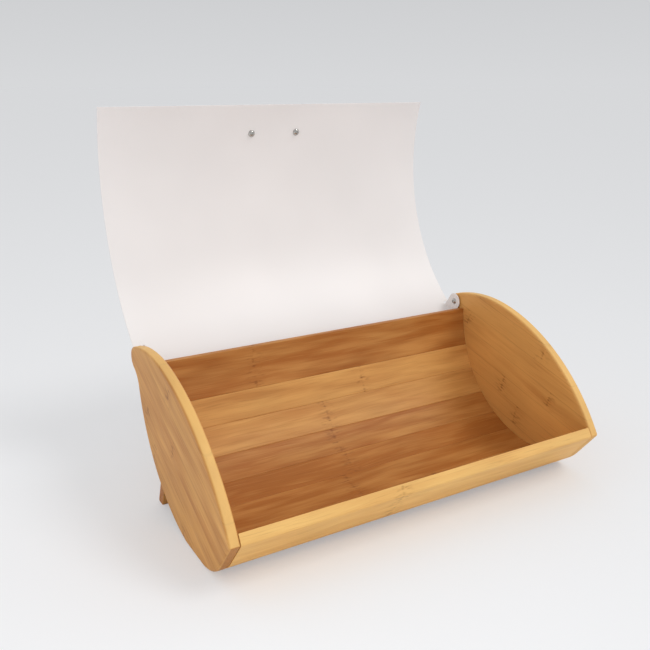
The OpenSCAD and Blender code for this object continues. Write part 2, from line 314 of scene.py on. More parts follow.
def softened(loop, radius, steps=5):
    """The closed outline with small curves for corners. At a sharp turn, the stretch from t before
    the corner to t behind it, t = radius * tan(turn / 2), becomes the quadratic Bezier curve
    (1-s)^2 A + 2 s (1-s) corner + s^2 B between its two ends A and B."""
    # Of two points in one place, one is enough
    loop = loop[np.linalg.norm(np.roll(loop, -1, 0) - loop, axis=1) > 1e-7]
    edge = np.roll(loop, -1, 0) - loop
    at = np.concatenate(([0], np.cumsum(np.linalg.norm(edge, axis=1))))
    heading = np.arctan2(edge[:, 1], edge[:, 0])
    turn = np.abs((heading - np.roll(heading, 1) + math.pi) % (2 * math.pi) - math.pi)
    closed = np.vstack((loop, loop[:1]))

    def spot(s):
        s = np.mod(s, at[-1])
        return np.stack((np.interp(s, at, closed[:, 0]), np.interp(s, at, closed[:, 1])), -1)

    keep = np.ones(len(loop), bool)
    places, points = [], []
    for corner in np.flatnonzero(turn > SHARP_TURN):
        reach = radius * math.tan(min(turn[corner], WIDEST_TURN) / 2)
        away = np.abs((at[:-1] - at[corner] + at[-1] / 2) % at[-1] - at[-1] / 2)
        keep &= away > reach * 1.02
        s = np.linspace(0, 1, steps)[:, None]
        before, behind = spot(at[corner] - reach), spot(at[corner] + reach)
        points.append((1 - s) ** 2 * before + 2 * s * (1 - s) * loop[corner] + s**2 * behind)
        places.append(np.mod(at[corner] + reach * (2 * s[:, 0] - 1), at[-1]))
    places = np.concatenate((at[:-1][keep], *places))
    return np.vstack((loop[keep], *points))[np.argsort(places)]


def inset(loop, depth):
    """The outline, drawn anticlockwise, moved inwards by depth: a point goes along the normal of
    its two edges' mean heading, by depth / cos(half its turn)."""
    ahead = np.roll(loop, -1, 0) - loop
    ahead /= np.linalg.norm(ahead, axis=1)[:, None]
    mean = (ahead + np.roll(ahead, 1, 0)) / 2
    return loop + depth * np.stack((-mean[:, 1], mean[:, 0]), -1) / np.sum(mean**2, 1)[:, None]


def chamfer():
    """The nose's centre, the top of the chamfer under it, the way out of the chamfer, the way down
    along it, and the centre of the heel, which touches the chamfer and the lower curve."""
    s = shape()
    out = np.array((-math.sin(s.chamfer_angle), -math.cos(s.chamfer_angle)))
    down = np.array((math.cos(s.chamfer_angle), -math.sin(s.chamfer_angle)))
    nose = top_centre() + polar(s.top_radius - s.nose_radius, math.pi - s.nose_angle)
    start = nose + s.nose_radius * out
    heel = where_line_leaves(
        start - s.heel_radius * out, down, low_centre(), s.low_radius - s.heel_radius
    )
    return nose, start, out, down, heel


def panel_outline():
    """A side panel's outline: upper curve, nose, chamfer, heel, lower curve with its flat land,
    hollow, tip and fall, each an arc or a line that starts where the one before it ends. The fall
    is the circle that touches the upper curve (radius D, at the way w) and the tip (centre T,
    radius r) from inside: its radius is (|D w - T|^2 - r^2) / (2 (D - w . T - r))."""
    s = shape()
    top, low = top_centre(), low_centre()
    nose, _, out, _, heel = chamfer()
    tip = top + np.array(s.tip_centre)
    way = polar(1, s.fall_angle)
    apart = top + s.top_radius * way - tip
    fall_radius = (apart @ apart - s.tip_radius**2) / (2 * (apart @ way - s.tip_radius))
    fall = top + (s.top_radius - fall_radius) * way
    hollow = meeting(low, s.low_radius + s.hollow_radius, tip, s.tip_radius + s.hollow_radius)
    land = math.acos((s.low_radius - s.land_cut) / s.low_radius)
    steep = 2 * math.pi + angle_of(out)
    touch = 2 * math.pi + angle_of(heel - low)
    back = 2 * math.pi + angle_of(hollow - low)
    return np.vstack(
        (
            arc(fall, fall_radius, angle_of(tip - fall), s.fall_angle),
            arc(top, s.top_radius, s.fall_angle, math.pi - s.nose_angle),
            arc(nose, s.nose_radius, math.pi - s.nose_angle, steep, 0.0004),
            arc(heel, s.heel_radius, steep, touch),
            arc(low, s.low_radius, touch, 1.5 * math.pi - land),
            arc(low, s.low_radius, 1.5 * math.pi + land, back),
            arc(hollow, s.hollow_radius, back - math.pi, angle_of(tip - hollow), 0.001),
            arc(tip, s.tip_radius, angle_of(hollow - tip), angle_of(tip - fall), 0.0008),
        )
    )


def stave_outline(start, end):
    """A stave's section: the ring between two radii, from one joint's angle to the next."""
    s = shape()
    outer = s.low_radius - s.stave_inset
    inner = outer - s.stave_thickness
    low, first, last = low_centre(), -math.radians(start), -math.radians(end)
    return np.vstack((arc(low, outer, last, first, 0.003), arc(low, inner, first, last, 0.003)))


def rail_outline():
    """The rail's section: inner face, upper curve, nose, chamfer, heel, end at the last stave."""
    s = shape()
    top, low = top_centre(), low_centre()
    nose, chamfer_top, out, down, heel = chamfer()
    last = -math.radians(STAVE_JOINTS[-1])
    inner_foot = low + polar(s.low_radius - s.stave_inset - s.stave_thickness, last)
    up = chamfer_top - s.rail_thickness * (out + 2 * down) - inner_foot
    inner_top = where_line_leaves(inner_foot, up / np.linalg.norm(up), top, s.top_radius)
    outer_foot = where_line_leaves(low, polar(1, last), heel, s.heel_radius)
    steep, end = (2 * math.pi + angle_of(way) for way in (out, outer_foot - heel))
    return np.vstack(
        (
            np.linspace(inner_foot, inner_top, 12)[:-1],
            arc(top, s.top_radius, angle_of(inner_top - top), math.pi - s.nose_angle),
            arc(nose, s.nose_radius, math.pi - s.nose_angle, steep, 0.0004),
            arc(heel, s.heel_radius, steep, end),
        )
    )


def foot_outline():
    """The foot's section: two leaning faces, a chamfer on the table, and a top that is scribed to
    the staves."""
    s = shape()
    low = low_centre()
    ground = low[1] - s.low_radius + s.land_cut
    up = np.array((-math.sin(s.foot_lean), math.cos(s.foot_lean)))
    front = np.array((top_centre()[0] - s.foot_forward, ground))
    back = front + np.array((s.foot_thickness / math.cos(s.foot_lean), 0))
    radius = s.low_radius - s.stave_inset
    # The faces come from outside, so they first meet the circle at the smaller root
    front_top, back_top = (
        2 * (p + ((low - p) @ up) * up) - where_line_leaves(p, up, low, radius)
        for p in (front, back)
    )
    return np.vstack(
        (
            front,
            back - np.array((s.foot_chamfer, 0)),
            back + s.foot_chamfer * up,
            arc(low, radius, angle_of(back_top - low), angle_of(front_top - low), 0.001),
        )
    )


# ---------------------------------------------------------------- meshes


def quads(rows, columns, closed=False):
    """Corner numbers of the quads of a grid stored row by row, each anticlockwise where rows run
    up and columns run to the right. A closed grid joins its last column to its first."""
    i, j = np.meshgrid(np.arange(rows - 1), np.arange(columns - (not closed)), indexing="ij")
    a, b = i * columns + j, i * columns + (j + 1) % columns
    return np.stack((a, b, b + columns, a + columns), -1).reshape(-1, 4)


def piece(name, points, faces, body, material, nodes, weld=False):
    """Makes one smooth-shaded piece that rides on a body and stands for the named CAD nodes."""
    mesh = bpy.data.meshes.new(name)
    mesh.from_pydata(np.reshape(points, (-1, 3)).tolist(), [], [list(f) for f in faces])
    if weld:
        work = bmesh.new()
        work.from_mesh(mesh)
        bmesh.ops.remove_doubles(work, verts=work.verts, dist=1e-6)
        work.to_mesh(mesh)
        work.free()
    mesh.shade_smooth()
    mesh.materials.append(material)
    made = bpy.data.objects.new(name, mesh)
    bpy.context.scene.collection.objects.link(made)
    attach(made, body)
    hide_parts(*nodes)
    return made


def board(name, loop, start, end, arris, material, nodes):
    """A board: the outline carried along X from start to end. Near an end the outline lies
    arris * (1 - sin t) inside itself at arris * (1 - cos t) from the end, t from 0 to 90 degrees,
    which is a quarter round. A row of points just beside each round keeps the flat faces flat."""
    loop = softened(loop, CORNER_SHARE * arris)
    t = np.linspace(0, math.pi / 2, 4)
    beside = BESIDE_SHARE * arris
    depth = np.concatenate(([arris + beside], arris * (1 - np.sin(t)), [0]))
    back = np.concatenate(([0], arris * (1 - np.cos(t)), [arris + beside]))
    rows = [(start + b, d) for b, d in zip(back, depth)]
    rows += [(end - b, d) for b, d in zip(back[::-1], depth[::-1])]
    points = np.stack([np.column_stack((np.full(len(loop), x), inset(loop, d))) for x, d in rows])
    count = len(loop)
    caps = [np.arange(count)[::-1], np.arange(count) + (len(rows) - 1) * count]
    faces = [*quads(len(rows), count, closed=True), *caps]
    return piece(name, points, faces, "box", material, nodes)


def opened(points):
    """Turns points (x, y, z) of the closed lid about the hinge axis to the open lid."""
    y, z = points[..., 1] - HINGE[0], points[..., 2] - HINGE[1]
    c, s = math.cos(-lid().swing), math.sin(-lid().swing)
    return np.stack((points[..., 0], HINGE[0] + y * c - z * s, HINGE[1] + y * s + z * c), -1)


def on_lid(x, radius, angle):
    """A point of the closed lid from its place across the box, and its radius and angle about the
    centre of the upper curve: (x, yc + r cos a, zc + r sin a)."""
    x, radius, angle = np.broadcast_arrays(x, radius, angle)
    yz = top_centre() + polar(radius, angle)
    return np.concatenate((x[..., None], yz), -1)


def lid_patches():
    """The outer skin of the closed lid as grids of points, rows along the curve and columns to the
    right: the sheet, its side strips, the two bends and the two ears. An ear's grid runs in rings
    from its outline to its hole: (1 - s) * outline + s * hole."""
    s, l = shape(), lid()
    radius = s.top_radius + l.gap + l.sheet_thickness
    half = PANEL_IN - l.side_gap
    fold = half - l.bend_radius
    pivot = HINGE - top_centre()
    pivot_angle, pivot_radius = angle_of(pivot), float(np.linalg.norm(pivot))
    ear = math.asin(l.ear_radius / (radius - l.bend_radius))
    ear_rows = pivot_angle + np.linspace(-ear, ear, 13)
    notch_end = pivot_angle + ear + l.notch_width / radius
    before = np.linspace(l.back_angle, ear_rows[0], 6)
    notch = np.linspace(ear_rows[-1], notch_end, 3)
    behind = np.linspace(notch_end, l.front_angle, 64)
    rows = np.concatenate((before, ear_rows[1:], notch[1:], behind[1:]))
    across = np.linspace(-fold, fold, 25)
    patches = [on_lid(across[None, :], radius, rows[:, None])]
    strip = np.array((fold, half))[None, :]
    wide = np.array((fold, half, PANEL_IN + l.overlap))[None, :]
    bend = np.linspace(0, math.pi / 2, 6)[None, :]
    bend_x = fold + l.bend_radius * np.sin(bend)
    bend_radius = radius - l.bend_radius * (1 - np.cos(bend))

    # Ear outline, as (across the ear, outwards) from the pivot: along the bend, down one side,
    # round the half disc and up the other side
    reach = (radius - l.bend_radius) * np.cos(ear_rows - pivot_angle) - pivot_radius
    bend_line = np.column_stack(((radius - l.bend_radius) * np.sin(ear_rows - pivot_angle), reach))
    side = np.linspace(reach[-1], 0, 6)[1:-1]
    disc = polar(l.ear_radius, np.linspace(0, -math.pi, 25))
    outline = np.vstack(
        (
            bend_line,
            np.column_stack((np.full(len(side), l.ear_radius), side)),
            disc,
            np.column_stack((np.full(len(side), -l.ear_radius), side[::-1])),
        )
    )
    hole = l.ear_hole * outline / np.linalg.norm(outline, axis=1)[:, None]
    blend = np.linspace(0, 1, 5)[None, :, None]
    rings = (1 - blend) * outline[:, None] + blend * hole[:, None]
    rings = np.concatenate((rings, rings[:1]))
    outwards, along = polar(1, pivot_angle), polar(1, pivot_angle + math.pi / 2)
    yz = HINGE + rings[..., :1] * along + rings[..., 1:] * outwards
    ear_patch = np.concatenate((np.full(rings.shape[:2] + (1,), half), yz), -1)
    for grid in (
        on_lid(strip, radius, before[:, None]),
        on_lid(wide, radius, behind[:, None]),
        on_lid(bend_x, bend_radius, ear_rows[:, None]),
        ear_patch,
    ):
        patches += [grid, (grid * (-1, 1, 1))[:, ::-1]]
    return patches


def handle_points():
    """The handle on the closed lid. Its plain section (u, h) runs from the middle of the base round
    a small arris up the flank and over a half-round crown. It is carried round a stadium, whose
    point is (c + u cos q, u sin q, h), q turning through half circles at the ends c = +-straight/2.
    The straight finger hollows cut it where |u sin q| > e - sqrt(r^2 - (h - m)^2)."""
    l = lid()
    grip, arris = l.handle_width / 2, HANDLE_ARRIS
    wall = l.handle_height - grip
    base, flank = np.linspace(0, grip - arris, 4), np.linspace(arris, wall, 25)[1:]
    section = np.vstack(
        (
            np.column_stack((base, np.zeros(len(base)))),
            (grip - arris, arris) + polar(arris, np.linspace(-math.pi / 2, 0, 6))[1:],
            np.column_stack((np.full(len(flank), grip), flank)),
            (0, wall) + polar(grip, np.linspace(0, math.pi / 2, 33))[1:],
        )
    )
    u, h = section[None, :, 0], section[None, :, 1]
    straight = (l.handle_length - l.handle_width) / 2
    turn = np.linspace(-math.pi / 2, math.pi / 2, 33)
    q = np.concatenate((turn, turn + math.pi))[:, None]
    c = np.repeat((straight, -straight), len(turn))[:, None]
    hollow = grip + l.hollow_radius - l.hollow_depth
    hollow = hollow - np.sqrt(np.maximum(l.hollow_radius**2 - (h - l.hollow_up) ** 2, 0))
    limit = hollow / np.maximum(np.abs(np.sin(q)), 1e-6)
    # The smaller of the two, rounded where they cross
    near = np.clip(0.5 + 0.5 * (limit - u) / HOLLOW_RIM, 0, 1)
    u = limit + (u - limit) * near - HOLLOW_RIM * near * (1 - near) * (u > grip / 2)
    x, y, z = c + u * np.cos(q), u * np.sin(q), h + 0 * q
    outwards, along = polar(1, l.handle_angle), polar(1, l.handle_angle - math.pi / 2)
    foot = top_centre() + (shape().top_radius + l.gap + l.sheet_thickness) * outwards
    yz = foot + y[..., None] * along + z[..., None] * outwards
    return np.concatenate((x[..., None], yz), -1)


# ---------------------------------------------------------------- materials


def linear(text):
    """An sRGB hex colour as linear RGBA."""
    value = np.array([int(text[i : i + 2], 16) for i in (1, 3, 5)]) / 255
    value = np.where(value <= 0.04045, value / 12.92, ((value + 0.055) / 1.055) ** 2.4)
    return (*value.tolist(), 1.0)


def put(tree, kind, output=0, **given):
    """Adds a node and returns one of its outputs. What is given goes to the node's own setting of
    that name, or else to its socket of that name, or s0, s1 for the socket's number. A socket takes
    a value or the output that feeds it."""
    node = tree.nodes.new(kind)
    for key, value in given.items():
        if hasattr(node, key):
            setattr(node, key, value)
            continue
        socket = node.inputs[int(key[1:]) if key[1:].isdigit() else key.replace("_", " ")]
        if isinstance(value, NodeSocket):
            tree.links.new(value, socket)
        else:
            socket.default_value = value
    return node.outputs[output]


def new_material(name):
    """An empty material, its node tree and its shader."""
    material = bpy.data.materials.new(name)
    material.use_nodes = True
    tree = material.node_tree
    tree.nodes.clear()
    shader = put(tree, "ShaderNodeBsdfPrincipled").node
    output = tree.nodes.new("ShaderNodeOutputMaterial")
    tree.links.new(shader.outputs["BSDF"], output.inputs["Surface"])
    return material, tree, shader


def bamboo(
    name, along, across, shade, grounds=None, ring=0, seed=0, strip=0, phase=0, cut_depth=0.8
):
    """Carbonised bamboo, planed, glued from strips and rubbed with clear oil. The eye gets long
    soft streaks and fine fibres, faint joints between strips that differ a little in tone, a
    broken ring with short dark dashes where the cane had a node, pores on end grain, and a satin
    shine. The fibres run along, and across lies over them in the board's face. A shade from 0 to 1
    goes from the first to the second of the two grounds. End grain looks deeper by the share
    cut_depth. On the side panels this share is set per side to how dark the chamfer under the
    nose looks: on the left it is partly painted shade, and on the right it is kept low to paint
    light on a chamfer that lies in shade. Lengths in here are in mm."""
    f = finish()
    material, tree, shader = new_material(name)
    along, across = Vector(along).normalized(), Vector(across).normalized()
    turn = Matrix((along, across, along.cross(across))).transposed().to_euler()
    deep, pale = (linear(text) for text in grounds or (f.bamboo_deep, f.bamboo_pale))
    dark, edge, brown = (linear(text) for text in (f.bamboo_fibre, f.bamboo_lit_edge, f.glue))
    fibre, gap = f.fibre_width * 1000, f.ring_gap * 1000

    # Place in the wood: u along the fibres from the ring, v across them, w into the board
    wood = put(
        tree,
        "ShaderNodeMapping",
        vector_type="TEXTURE",
        Vector=put(tree, "ShaderNodeTexCoord", "Object"),
        Location=along * ring / 1000,
        Rotation=turn,
        Scale=(0.001, 0.001, 0.001),
    )
    u, v = (put(tree, "ShaderNodeSeparateXYZ", axis, Vector=wood) for axis in "XY")

    # The fibres wander sideways by 2 mm or so over a hand's length
    slow = put(
        tree, "ShaderNodeVectorMath", operation="MULTIPLY", s0=wood, s1=(1 / 90, 1 / 25, 1 / 25)
    )
    wander = put(
        tree,
        "ShaderNodeTexNoise",
        "Color",
        noise_dimensions="4D",
        Vector=slow,
        W=seed,
        Scale=1.0,
        Detail=1.0,
    )
    bent = put(
        tree, "ShaderNodeVectorMath", operation="MULTIPLY_ADD", s0=wander, s1=(0, 9.0, 0), s2=wood
    )

    # Four noises, with their lengths along the fibres and widths across them. Fibre bundles are
    # 0.3 mm wide, and are drawn wider so that they show. Streaks are where the layers of the cane
    # were cut, clouds where the oil went in deeper, and the last makes the dashes beside a ring.
    noises = []
    for source, long, wide, number, detail, rough in (
        (bent, 40, fibre, 0, 2.0, 0.6),
        (bent, 85, 9, 5, 2.0, 0.5),
        (wood, 70, 30, 9, 1.0, 0.5),
        (wood, 9, 2.2, 2, 1.0, 0.5),
    ):
        stretch = (1 / long, 1 / wide, 1 / wide)
        drawn = put(tree, "ShaderNodeVectorMath", operation="MULTIPLY", s0=source, s1=stretch)
        noise = put(
            tree,
            "ShaderNodeTexNoise",
            noise_dimensions="4D",
            Vector=drawn,
            W=seed + number,
            Scale=1.0,
            Detail=detail,
            Roughness=rough,
        )
        noises.append(noise)
    fine, streak, cloud, dash = noises

    # Strips of a glued board, each of its own tone by chance, with a joint 0.5 mm to either side
    glue, chance, ground = 0.0, 0.0, shade
    if strip:
        shifted = put(tree, "ShaderNodeMath", operation="ADD", s0=v, s1=phase)
        place = put(tree, "ShaderNodeMath", operation="DIVIDE", s0=shifted, s1=strip)
        number = put(tree, "ShaderNodeMath", operation="FLOOR", s0=place)
        joint = put(tree, "ShaderNodeMath", operation="PINGPONG", s0=shifted, s1=strip / 2)
        glue = put(tree, "ShaderNodeMapRange", **SMOOTH, s0=joint, s1=0.1, s2=0.55, s3=1, s4=0)
        chance = put(tree, "ShaderNodeTexWhiteNoise", noise_dimensions="1D", W=number)
        ground = put(tree, "ShaderNodeMapRange", s0=chance, s3=shade - 0.12, s4=shade + 0.12)

    # Rings lie a ring gap apart, elsewhere in each strip, and sway by 2 mm across it. A ring is a
    # broken line 4 mm wide at most, with dashes up to 13 mm to either side.
    place = put(tree, "ShaderNodeMath", operation="MULTIPLY_ADD", s0=chance, s1=gap, s2=u)
    sway = put(tree, "ShaderNodeMath", operation="MULTIPLY_ADD", s0=wander, s1=12.0, s2=place)
    away = put(tree, "ShaderNodeMath", operation="PINGPONG", s0=sway, s1=gap / 2)
    line, near = (
        put(tree, "ShaderNodeMapRange", **SMOOTH, s0=away, s1=start, s2=end, s3=1.0, s4=0.0)
        for start, end in ((0.4, 1.8), (1.0, 13.0))
    )
    broken = put(tree, "ShaderNodeMapRange", s0=dash, s1=0.42, s2=0.62)
    line = put(tree, "ShaderNodeMath", operation="MULTIPLY", s0=line, s1=broken)
    dash = put(tree, "ShaderNodeMapRange", **SMOOTH, s0=dash, s1=0.48, s2=0.74, s4=0.5)
    dash = put(tree, "ShaderNodeMath", operation="MULTIPLY", s0=near, s1=dash)

    # Colour: the ground with its streaks, then dark and pale fibres, glue, dashes and ring on it
    ground = put(
        tree,
        "ShaderNodeMath",
        operation="ADD",
        s0=put(tree, "ShaderNodeMapRange", s0=streak, s1=0.3, s2=0.7, s3=-0.3, s4=0.3),
        s1=ground,
    )
    dark_fibre = put(tree, "ShaderNodeMapRange", **SMOOTH, s0=fine, s1=0.5, s2=0.8, s4=0.3)
    pale_fibre = put(tree, "ShaderNodeMapRange", **SMOOTH, s0=fine, s1=0.46, s2=0.24, s4=0.25)
    joint, ring_line = (
        put(tree, "ShaderNodeMath", operation="MULTIPLY", s0=mask, s1=strength)
        for mask, strength in ((glue, 0.22), (line, 0.34))
    )
    colour = deep
    for share, over in (
        (ground, pale),
        (dark_fibre, dark),
        (pale_fibre, pale),
        (joint, brown),
        (dash, dark),
        (ring_line, dark),
    ):
        colour = put(tree, "ShaderNodeMix", 2, data_type="RGBA", s0=share, s6=colour, s7=over)

    # A glued board's edge cuts through the strips, and it is painted paler than its faces: painted
    # light from above on the panels' upper edges. End grain, where a face looks along the fibres,
    # has dark pores on a deeper ground.
    normal = put(tree, "ShaderNodeTexCoord", "Normal")
    sideways, endways = (
        put(
            tree,
            "ShaderNodeMath",
            operation="ABSOLUTE",
            s0=put(
                tree, "ShaderNodeVectorMath", "Value", operation="DOT_PRODUCT", s0=normal, s1=way
            ),
        )
        for way in ((1, 0, 0), along)
    )
    # Painted light from above: on a strip board, faces that don't look along X get the lit-edge
    # colour
    painted_edge_light = 0.6 if strip else 0.0
    painted_edge_light = put(tree, "ShaderNodeMapRange", **SMOOTH, s0=sideways, s1=0.8, s2=0.2, s4=painted_edge_light)
    # End grain is deeper by cut_depth, which on the side panels is partly painted shade (left) and
    # painted light on a shaded chamfer (right)
    deeper = put(tree, "ShaderNodeMapRange", **SMOOTH, s0=endways, s1=0.75, s2=0.97, s4=cut_depth)
    section = put(
        tree, "ShaderNodeVectorMath", operation="MULTIPLY", s0=wood, s1=(0, 1 / 0.9, 1 / 0.9)
    )
    pore = put(tree, "ShaderNodeTexVoronoi", "Distance", Vector=section, Scale=1.0)
    pore = put(tree, "ShaderNodeMapRange", **SMOOTH, s0=pore, s1=0.45, s2=0.15)
    cut = put(tree, "ShaderNodeMix", 2, data_type="RGBA", s0=pore, s6=deep, s7=dark)
    for share, over in ((painted_edge_light, edge), (deeper, cut)):
        colour = put(tree, "ShaderNodeMix", 2, data_type="RGBA", s0=share, s6=colour, s7=over)
    cloud = put(tree, "ShaderNodeMapRange", s0=cloud, s1=0.3, s2=0.7, s3=0.94, s4=1.05)
    colour = put(tree, "ShaderNodeVectorMath", operation="SCALE", s0=colour, Scale=cloud)

    rough = put(tree, "ShaderNodeMapRange", s0=fine, s1=0.3, s2=0.75, s3=0.42, s4=0.56)
    relief = put(tree, "ShaderNodeMath", operation="MULTIPLY_ADD", s0=line, s1=-0.8, s2=fine)
    relief = put(tree, "ShaderNodeMath", operation="MULTIPLY_ADD", s0=glue, s1=-0.7, s2=relief)
    bump = put(tree, "ShaderNodeBump", Strength=0.3, Distance=0.0002, Height=relief)
    shader.inputs["Specular IOR Level"].default_value = 0.25
    for output, socket in ((colour, "Base Color"), (rough, "Roughness"), (bump, "Normal")):
        tree.links.new(output, shader.inputs[socket])
    return material


def powder_coat(name):
    """Sheet metal under a baked white powder coat: even satin white with a faint orange peel, whose
    dimples are about 1.5 mm wide, and slow changes of tone a hand wide."""
    material, tree, shader = new_material(name)
    coordinate = put(tree, "ShaderNodeTexCoord", "Object")
    white = linear(finish().powder_coat)
    duller = tuple(0.955 * c for c in white[:3]) + (1.0,)
    slow = put(tree, "ShaderNodeTexNoise", Vector=coordinate, Scale=1 / 0.09, Detail=1.0)
    peel = put(
        tree,
        "ShaderNodeTexNoise",
        Vector=coordinate,
        Scale=1 / 0.0015,
        Detail=2.0,
        Roughness=0.4,
    )
    tone = put(tree, "ShaderNodeMapRange", s0=slow, s1=0.3, s2=0.7)
    colour = put(tree, "ShaderNodeMix", 2, data_type="RGBA", s0=tone, s6=duller, s7=white)
    tree.links.new(colour, shader.inputs["Base Color"])
    rough = put(tree, "ShaderNodeMapRange", s0=peel, s1=0.3, s2=0.7, s3=0.34, s4=0.42)
    tree.links.new(rough, shader.inputs["Roughness"])
    bump = put(tree, "ShaderNodeBump", Strength=0.12, Distance=0.0001, Height=peel)
    tree.links.new(bump, shader.inputs["Normal"])
    return material


def polished_steel(name):
    """Cold-formed steel, tumbled and nickel bright: a light grey mirror, a little blurred, with
    hair-fine scratches about 0.2 mm apart and duller patches 1.5 mm wide from handling."""
    material, tree, shader = new_material(name)
    coordinate = put(tree, "ShaderNodeTexCoord", "Object")
    brushed = put(
        tree,
        "ShaderNodeMapping",
        Vector=coordinate,
        Scale=(300.0, 5000.0, 1800.0),
        Rotation=(0.6, 0.3, 0.5),
    )
    scratch = put(tree, "ShaderNodeTexNoise", Vector=brushed, Scale=1.0, Detail=2.0)
    patch = put(tree, "ShaderNodeTexNoise", Vector=coordinate, Scale=1 / 0.0015, Detail=1.0)
    steel = linear(finish().steel)
    darker = tuple(0.8 * c for c in steel[:3]) + (1.0,)
    colour = put(tree, "ShaderNodeMix", 2, data_type="RGBA", s0=patch, s6=steel, s7=darker)
    tree.links.new(colour, shader.inputs["Base Color"])
    shader.inputs["Metallic"].default_value = 1.0
    rough = put(tree, "ShaderNodeMapRange", s0=scratch, s1=0.3, s2=0.7, s3=0.16, s4=0.3)
    tree.links.new(rough, shader.inputs["Roughness"])
    bump = put(tree, "ShaderNodeBump", Strength=0.1, Distance=0.00005, Height=scratch)
    tree.links.new(bump, shader.inputs["Normal"])
    return material


def leaning(angle):
    """The way up a board that leans to the front by an angle: (0, -sin a, cos a)."""
    return (0, -math.sin(angle), math.cos(angle))


def dress(node, material):
    """Gives a CAD node its material."""
    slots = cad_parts[node].data.materials
    slots.clear()
    slots.append(material)


# ---------------------------------------------------------------- operators


class SidePanels(Operator):
    """Make the two side panels with sanded arrises"""

    bl_idname = "bread_box.side_panels"
    bl_label = "Side Panels"

    def execute(self, context):
        strip = finish().strip_width * 1000
        for side, start, end in (("left", -PANEL_OUT, -PANEL_IN), ("right", PANEL_IN, PANEL_OUT)):
            rise, look = PANEL_WOOD[side]
            rise = math.radians(rise)
            along = (0, math.cos(rise), math.sin(rise))
            wood = bamboo(f"bamboo_panel_{side}", along, leaning(rise), strip=strip, **look)
            loop, arris, nodes = panel_outline(), shape().panel_arris, [f"side_panel_{side}"]
            board(f"panel_{side}", loop, start, end, arris, wood, nodes)
        return {"FINISHED"}


class Staves(Operator):
    """Make the eight staves of the curved back and floor"""

    bl_idname = "bread_box.staves"
    bl_label = "Staves"

    def execute(self, context):
        for i, (start, end) in enumerate(zip(STAVE_JOINTS, STAVE_JOINTS[1:])):
            way = leaning(-math.radians((start + end) / 2))
            look = dict(shade=STAVE_SHADES[i], ring=STAVE_RINGS[i], seed=3 + i)
            wood = bamboo(f"bamboo_stave_{i + 1}", (1, 0, 0), way, **look)
            loop, arris, nodes = stave_outline(start, end), shape().stave_arris, [f"stave_{i + 1}"]
            board(f"strip_{i + 1}", loop, -PANEL_IN, PANEL_IN, arris, wood, nodes)
        return {"FINISHED"}


class FrontRail(Operator):
    """Make the front rail with its chamfer"""

    bl_idname = "bread_box.front_rail"
    bl_label = "Front Rail"

    def execute(self, context):
        down = chamfer()[3]
        # The rail's ground runs from pale bamboo to the lit-edge colour: partly the rail's own
        # paler tone, partly painted light from above on its upward faces
        pale = (finish().bamboo_pale, finish().bamboo_lit_edge)
        wood = bamboo("bamboo_rail", (1, 0, 0), (0, *down), 0.48, pale, ring=-30, seed=12)
        loop, arris = rail_outline(), shape().stave_arris
        board("rail", loop, -PANEL_IN, PANEL_IN, arris, wood, ["front_rail"])
        return {"FINISHED"}


class RearFoot(Operator):
    """Make the rear foot"""

    bl_idname = "bread_box.rear_foot"
    bl_label = "Rear Foot"

    def execute(self, context):
        way = leaning(shape().foot_lean)
        wood = bamboo("bamboo_foot", (1, 0, 0), way, 0.5, ring=110, seed=13)
        loop = foot_outline()
        board("foot", loop, -FOOT_END, FOOT_END, FOOT_ARRIS, wood, ["rear_foot"])
        return {"FINISHED"}


class LidSheet(Operator):
    """Make the bent lid sheet with its two ears"""

    bl_idname = "bread_box.lid_sheet"
    bl_label = "Lid Sheet"

    def execute(self, context):
        points, faces, count = [], [], 0
        for grid in lid_patches():
            rows, columns = grid.shape[:2]
            faces += (quads(rows, columns)[:, ::-1] + count).tolist()
            points.append(opened(grid).reshape(-1, 3))
            count += rows * columns
        points, coat = np.vstack(points), powder_coat("white_powder_coat")
        sheet = piece(
            "lid_shell", points, faces, "lid", coat, ["lid_sheet"], weld=True
        )
        wall = sheet.modifiers.new("Sheet", "SOLIDIFY")
        wall.thickness = lid().sheet_thickness
        wall.offset = -1
        wall.use_even_offset = True
        edge = sheet.modifiers.new("Edges", "BEVEL")
        edge.width = lid().edge_round
        edge.segments = 2
        edge.limit_method = "ANGLE"
        edge.angle_limit = math.radians(50)
        edge.harden_normals = True
        return {"FINISHED"}


class LidHandle(Operator):
    """Make the handle bar with its finger hollows"""

    bl_idname = "bread_box.lid_handle"
    bl_label = "Lid Handle"

    def execute(self, context):
        points = opened(handle_points())
        rows, columns = points.shape[:2]
        grid = quads(rows, columns)
        # The last row joins the first
        first = np.arange(columns - 1)
        last = (rows - 1) * columns + first
        closing = np.column_stack((last, last + 1, first + 1, first))
        way = leaning(lid().handle_angle - lid().swing)
        wood = bamboo("bamboo_handle", (1, 0, 0), way, 0.8, ring=-300, seed=14)
        faces = np.vstack((grid, closing))
        piece("handle_bar", points, faces, "lid", wood, ["lid_handle"], weld=True)
        return {"FINISHED"}


class Fasteners(Operator):
    """Dress the screws, spacers and dowels of the frame"""

    bl_idname = "bread_box.fasteners"
    bl_label = "Fasteners"

    def execute(self, context):
        steel = polished_steel("polished_steel")
        dowel = bamboo("bamboo_dowel", (1, 0, 0), (0, 0, 1), 0.8, seed=15)
        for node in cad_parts:
            if "screw" in node or "spacer" in node:
                dress(node, steel)
            elif "dowels" in node:
                dress(node, dowel)
        return {"FINISHED"}


